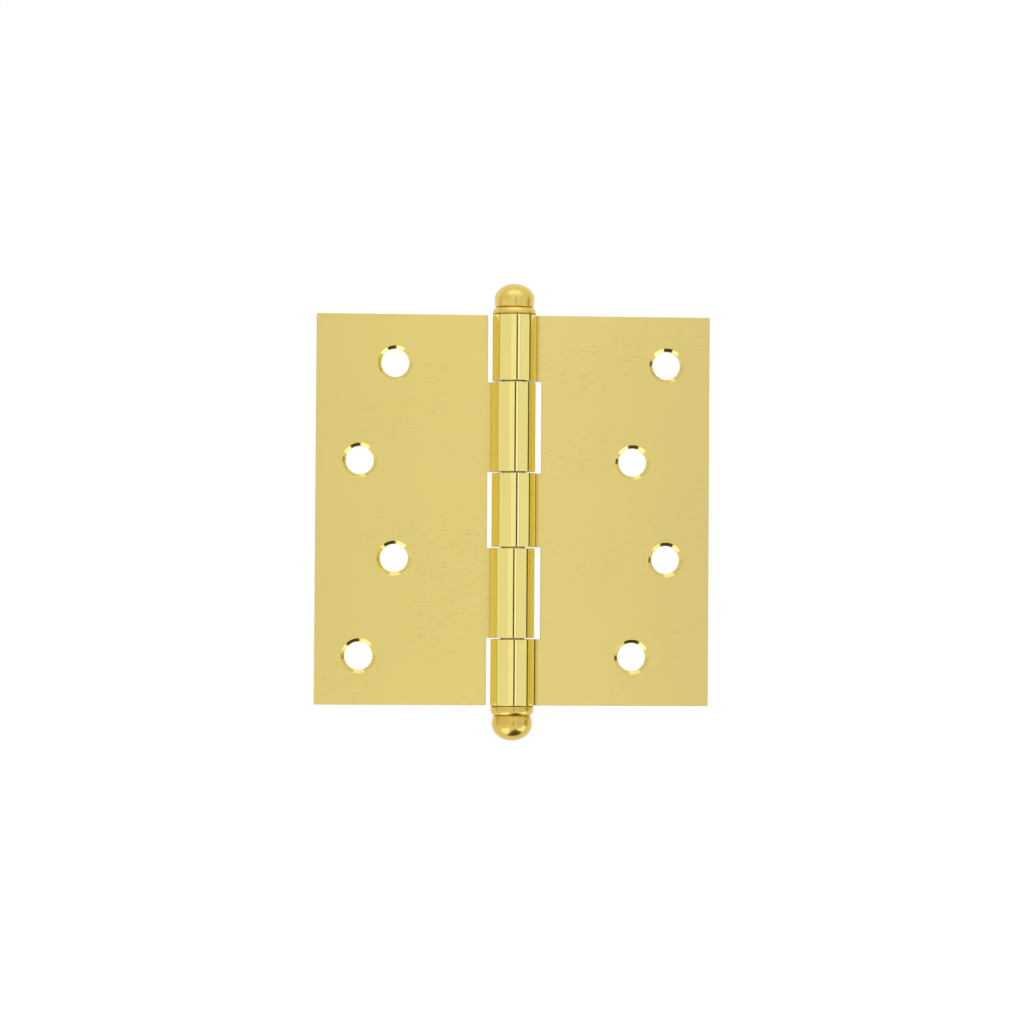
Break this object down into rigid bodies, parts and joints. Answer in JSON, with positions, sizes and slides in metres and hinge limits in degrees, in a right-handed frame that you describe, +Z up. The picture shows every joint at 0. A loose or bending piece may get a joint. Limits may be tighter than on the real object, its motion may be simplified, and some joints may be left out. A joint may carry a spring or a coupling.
{
  "type": "door hinge",
  "caption": "Square-corner butt hinge with interleaved rolled knuckles, countersunk screw holes, a loose lift-out pin and turned ball tips, for hanging a door.",
  "frame": {"origin": "on the pin axis, at the middle of the leaves' height, which is within 1 mm of the centre of the whole hinge because the lower tip is a little longer than the upper one", "axes": "+Z up the pin axis to the tip that lifts out, +X from the pin towards the outer edge of the three-knuckle leaf, +Y out of the backs of the leaves into the wood, with the hinge open flat"},
  "size_m": [0.1028, 0.0114, 0.1189],
  "materials": {
    "leaf_brass": "satin, with fine horizontal brush marks on the leaves and a polished barrel",
    "tip_brass": "turned and polished",
    "pin_steel": "brass plated"
  },
  "bodies": {
    "fixed_leaf": {"three_knuckle_leaf": "leaf_brass", "bottom_ball_tip": "tip_brass"},
    "swing_leaf": {"two_knuckle_leaf": "leaf_brass"},
    "pin": {"hinge_pin": "pin_steel"},
    "top_tip": {"top_ball_tip": "tip_brass"}
  },
  "joints": [
    {"name": "leaf_swing", "type": "hinge", "parent": "fixed_leaf", "child": "swing_leaf", "pos_m": [0, 0, 0], "axis": [0, 0, 1], "range_deg": [-128, 180]},
    {"name": "pin_lift", "type": "slide", "parent": "fixed_leaf", "child": "pin", "axis": [0, 0, 1], "range_m": [0, 0.095]},
    {"name": "tip_turn", "type": "hinge", "parent": "pin", "child": "top_tip", "pos_m": [0, 0, 0.0508], "axis": [0, 0, 1], "continuous": true}
  ]
}
